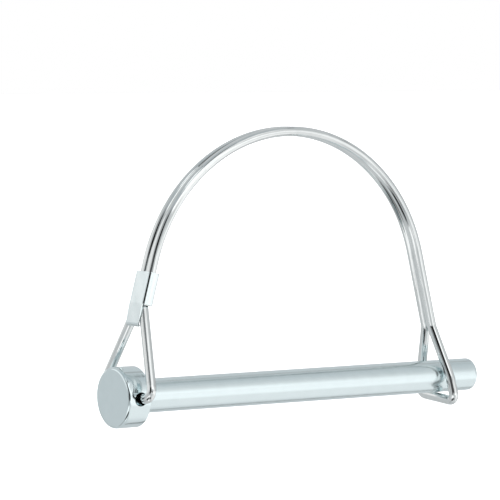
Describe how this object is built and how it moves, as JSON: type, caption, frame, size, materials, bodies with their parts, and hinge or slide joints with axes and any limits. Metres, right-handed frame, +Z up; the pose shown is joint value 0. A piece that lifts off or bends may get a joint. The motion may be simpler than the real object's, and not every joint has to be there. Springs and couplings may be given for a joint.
{
  "type": "wire lock safety pin",
  "caption": "Headed steel pin with a sprung wire bail that pivots in the head, arches over the shank and snaps round its free end to keep it in place.",
  "frame": {"origin": "on the shank's axis at the shoulder face under the head", "axes": "+X along the shank from the head to the tip, +Z up into the wire bail with the bail closed, +Y across, away from the near side"},
  "size_m": [0.0839, 0.0182, 0.0554],
  "materials": {
    "pin_steel": "bright zinc plate, satin, fine turned lines",
    "spring_wire": "bright plated drawn wire",
    "ferrule_sheet": "pale bright zinc plate on folded sheet"
  },
  "bodies": {
    "pin": {"headed_pin": "pin_steel"},
    "bail_base": {"head_leg_near": "spring_wire", "head_leg_far": "spring_wire", "ferrule": "ferrule_sheet"},
    "bail_head_side": {"head_arch_near": "spring_wire", "head_arch_far": "spring_wire"},
    "bail_tip_side": {"tip_arch_near": "spring_wire", "tip_arch_far": "spring_wire", "loop_leg_near": "spring_wire", "loop_leg_far": "spring_wire", "loop_crossbar": "spring_wire"}
  },
  "joints": [
    {"name": "bail_swing", "type": "hinge", "parent": "pin", "child": "bail_base", "pos_m": [-0.00188, 0, 0.00014], "axis": [0, -1, 0], "range_deg": [0, 255]},
    {"name": "ferrule_flex", "type": "hinge", "parent": "bail_base", "child": "bail_head_side", "pos_m": [0.00457, 0, 0.02469], "axis": [0, -1, 0], "range_deg": [-8.8, 0]},
    {"name": "crown_flex", "type": "hinge", "parent": "bail_head_side", "child": "bail_tip_side", "pos_m": [0.035, 0, 0.04967], "axis": [0, -1, 0], "range_deg": [0, 16], "stiffness_Nm_per_rad": 2.4}
  ],
  "couplings": [
    {"joint": "ferrule_flex", "follows": "crown_flex", "ratio": -0.55}
  ]
}
